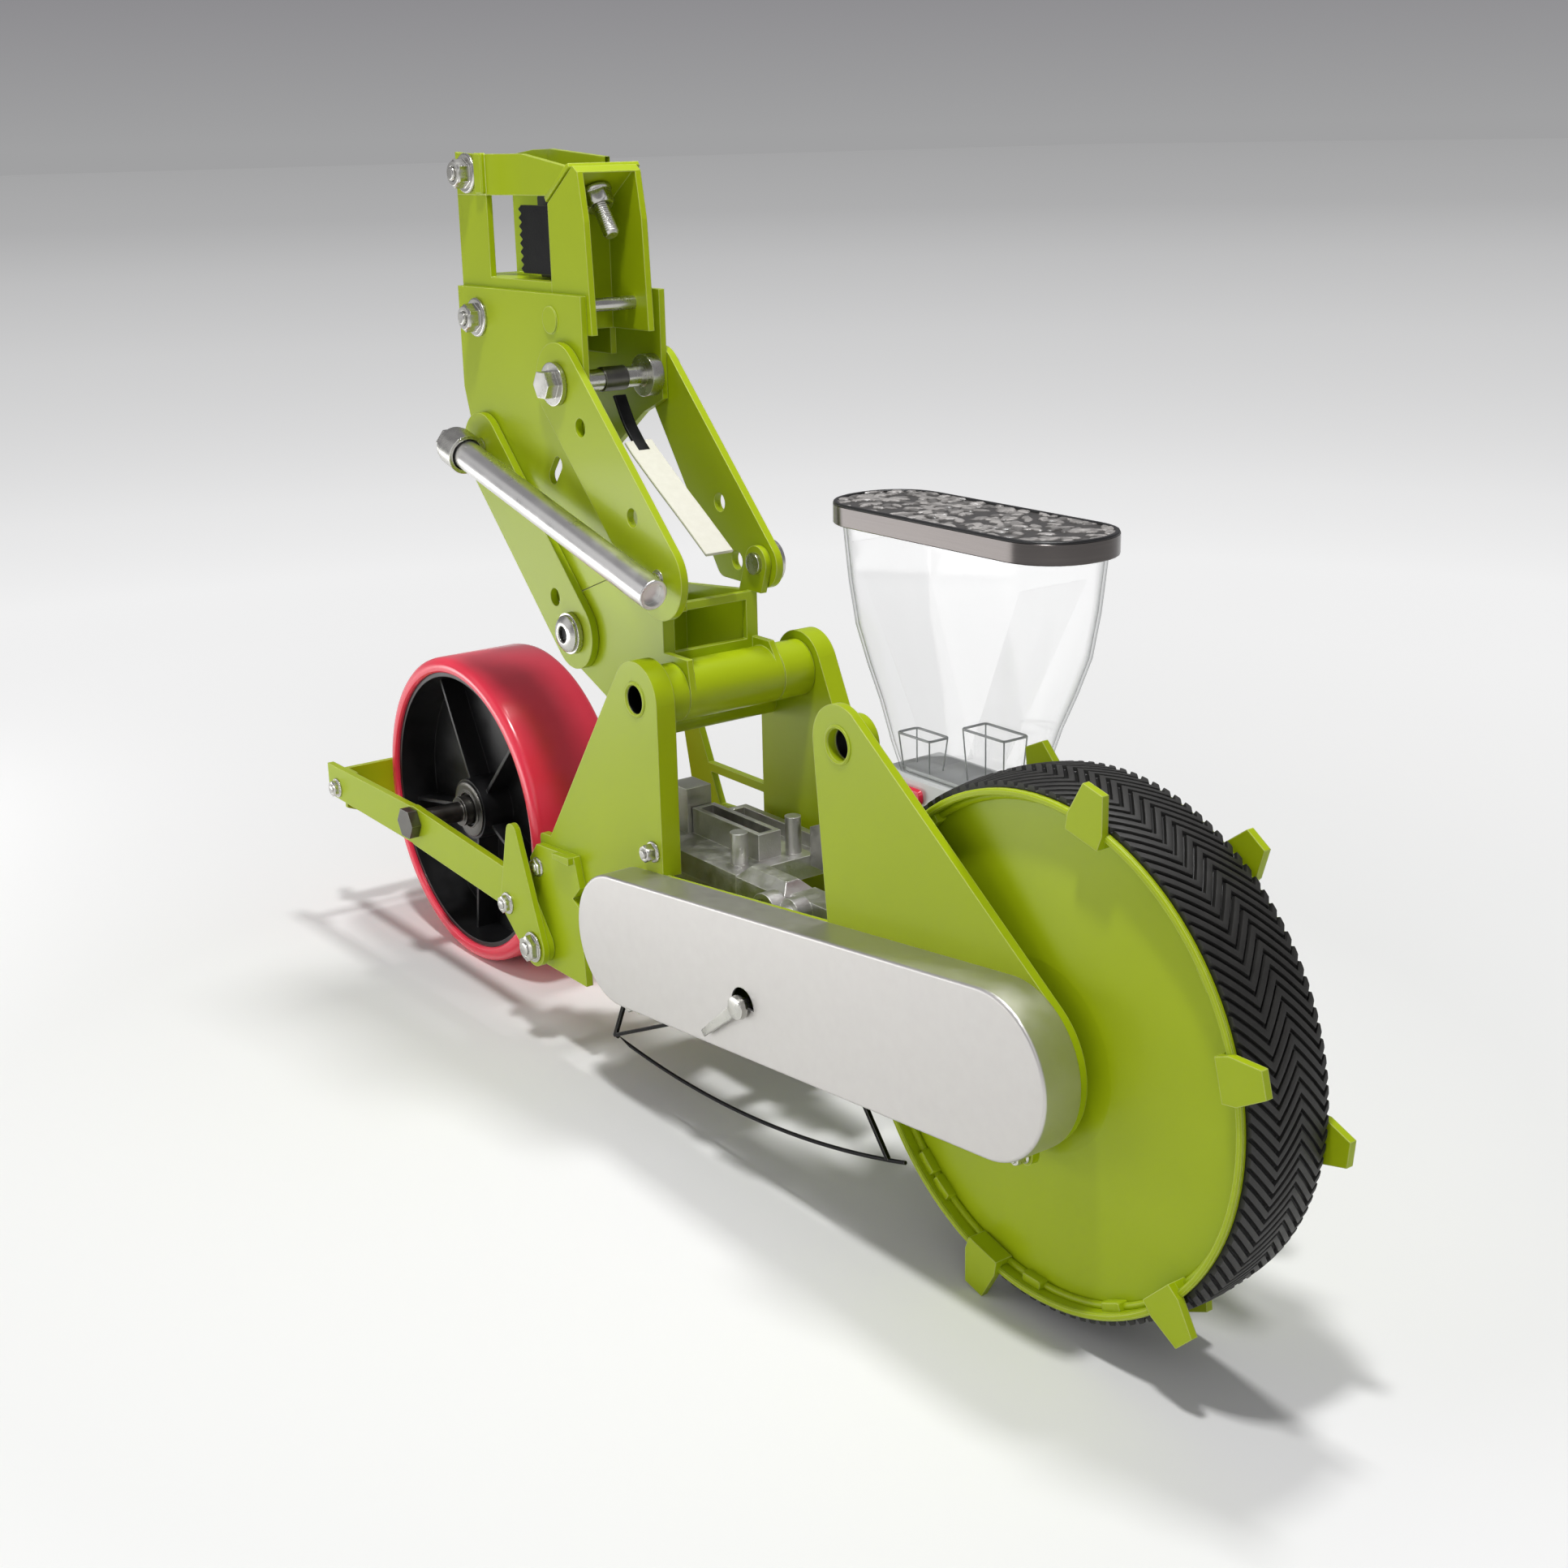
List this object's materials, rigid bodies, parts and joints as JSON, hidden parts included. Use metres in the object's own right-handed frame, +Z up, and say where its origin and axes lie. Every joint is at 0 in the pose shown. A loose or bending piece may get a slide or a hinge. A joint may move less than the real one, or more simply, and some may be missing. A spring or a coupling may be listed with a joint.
{
  "type": "precision seeder row unit",
  "caption": "Toolbar-mounted precision seeder row unit: lugged drive wheel, chain-driven seed meter, clear hopper, press wheel on swinging arms and a parallel-link tower with a toolbar clamp.",
  "frame": {"origin": "middle of the outline at floor level", "axes": "+X from the press wheel towards the lugged drive wheel, +Y from the chain cover to the far side plate, +Z up"},
  "size_m": [1.1018, 0.209, 0.69],
  "materials": {
    "green_paint": "gloss",
    "zinc_steel": "bright zinc",
    "satin_cover": "satin",
    "dark_steel": "semi-gloss black",
    "cast_grey": "as cast",
    "bronze_bush": "sintered",
    "tyre_black": "matt",
    "black_plastic": "moulded",
    "red_plastic": "semi-gloss",
    "clear_plastic": "clear moulded plastic",
    "lid_grey": "moulded"
  },
  "bodies": {
    "frame": {"near_side_plate": "green_paint", "far_side_plate": "green_paint", "frame_spreaders": "green_paint", "frame_bolts": "zinc_steel", "front_ear_boss": "green_paint", "shaft_bearings": "bronze_bush", "drive_chain": "dark_steel", "chain_cover": "satin_cover", "chain_guide": "black_plastic", "meter_housing": "cast_grey", "meter_posts": "cast_grey", "hopper_seat": "clear_plastic", "seed_chute": "cast_grey", "hopper": "clear_plastic", "furrow_opener": "dark_steel", "seed_tube": "black_plastic", "skid_rod": "dark_steel", "near_arm_bracket": "green_paint", "far_arm_bracket": "green_paint", "arm_pivot_bolts": "zinc_steel"},
    "drive_wheel": {"wheel_rim": "green_paint", "wheel_hub": "cast_grey", "tyre": "tyre_black", "near_lugs": "green_paint", "far_lugs": "green_paint", "wheel_axle": "zinc_steel", "axle_collars": "zinc_steel", "drive_sprocket": "dark_steel"},
    "meter_drive": {"meter_shaft": "zinc_steel", "driven_sprocket": "dark_steel", "seed_roller": "red_plastic"},
    "press_arms": {"near_press_arm": "green_paint", "far_press_arm": "green_paint", "arm_lever": "green_paint", "press_axle": "zinc_steel", "scraper_blade": "green_paint", "press_arm_bolts": "zinc_steel"},
    "press_wheel": {"press_hub": "black_plastic", "press_tread": "red_plastic"},
    "tower": {"tower_base": "green_paint", "pivot_tube": "green_paint", "pivot_collars": "green_paint", "base_pins": "zinc_steel"},
    "upper_link_pair": {"upper_links": "green_paint"},
    "lower_link_pair": {"lower_links": "green_paint"},
    "head": {"head_bracket": "green_paint", "head_pins": "zinc_steel", "clamp_head": "green_paint", "clamp_channel": "green_paint", "clamp_band": "green_paint", "clamp_bolts": "zinc_steel", "clamp_jaw": "dark_steel", "link_strap": "zinc_steel"},
    "nut": {"clamp_nut": "zinc_steel"},
    "brace": {"strut_tube": "satin_cover", "strut_stop_nut": "zinc_steel"},
    "brace_collar": {"strut_collar": "dark_steel"},
    "latch": {"cover_latch": "zinc_steel"},
    "lid": {"hopper_lid": "lid_grey"},
    "shutter": {"seed_shutter": "red_plastic"}
  },
  "joints": [
    {"name": "wheel_spin", "type": "hinge", "parent": "frame", "child": "drive_wheel", "pos_m": [0.37307, 0.007, 0.17787], "axis": [0, 1, 0], "continuous": true},
    {"name": "meter_spin", "type": "hinge", "parent": "frame", "child": "meter_drive", "pos_m": [-0.02893, 0.007, 0.13587], "axis": [0, 1, 0], "continuous": true},
    {"name": "press_arm_swing", "type": "hinge", "parent": "frame", "child": "press_arms", "pos_m": [-0.16893, 0.007, 0.086], "axis": [0, -1, 0], "range_deg": [0, 15]},
    {"name": "press_wheel_spin", "type": "hinge", "parent": "press_arms", "child": "press_wheel", "pos_m": [-0.37793, 0.007, 0.136], "axis": [0, 1, 0], "continuous": true},
    {"name": "tower_tilt", "type": "hinge", "parent": "frame", "child": "tower", "pos_m": [-0.02993, 0.007, 0.314], "axis": [0, 1, 0], "range_deg": [0, 15]},
    {"name": "linkage_lift", "type": "hinge", "parent": "tower", "child": "upper_link_pair", "pos_m": [-0.03593, 0.007, 0.3965], "axis": [0, 1, 0], "range_deg": [0, 25]},
    {"name": "lower_link_swing", "type": "hinge", "parent": "tower", "child": "lower_link_pair", "pos_m": [-0.15893, 0.007, 0.336], "axis": [0, 1, 0], "range_deg": [0, 25]},
    {"name": "head_level", "type": "hinge", "parent": "upper_link_pair", "child": "head", "pos_m": [-0.16393, 0.007, 0.524], "axis": [0, 1, 0], "range_deg": [-25, 0]},
    {"name": "brace_swing", "type": "hinge", "parent": "tower", "child": "brace", "pos_m": [-0.03593, 0.007, 0.3965], "axis": [0, 1, 0], "range_deg": [0, 15.55]},
    {"name": "brace_collar_swivel", "type": "hinge", "parent": "head", "child": "brace_collar", "pos_m": [-0.28693, 0.007, 0.4635], "axis": [0, 1, 0], "range_deg": [0, 15.55]},
    {"name": "clamp_nut_back_off", "type": "slide", "parent": "head", "child": "nut", "axis": [0.5736, 0, -0.8191], "range_m": [0, 0.02]},
    {"name": "cover_latch_turn", "type": "hinge", "parent": "frame", "child": "latch", "pos_m": [0.13407, 0.007, 0.14], "axis": [0, 1, 0], "range_deg": [0, 90]},
    {"name": "lid_lift", "type": "slide", "parent": "frame", "child": "lid", "axis": [0, 0, 1], "range_m": [0, 0.12]},
    {"name": "shutter_pull", "type": "slide", "parent": "frame", "child": "shutter", "axis": [-1, 0, 0], "range_m": [0, 0.08]}
  ],
  "couplings": [
    {"joint": "meter_spin", "follows": "wheel_spin", "ratio": 0.83333},
    {"joint": "lower_link_swing", "follows": "linkage_lift", "ratio": 1},
    {"joint": "head_level", "follows": "linkage_lift", "ratio": -1},
    {"joint": "brace_swing", "follows": "linkage_lift", "ratio": 0.618},
    {"joint": "brace_collar_swivel", "follows": "linkage_lift", "ratio": 0.618}
  ]
}
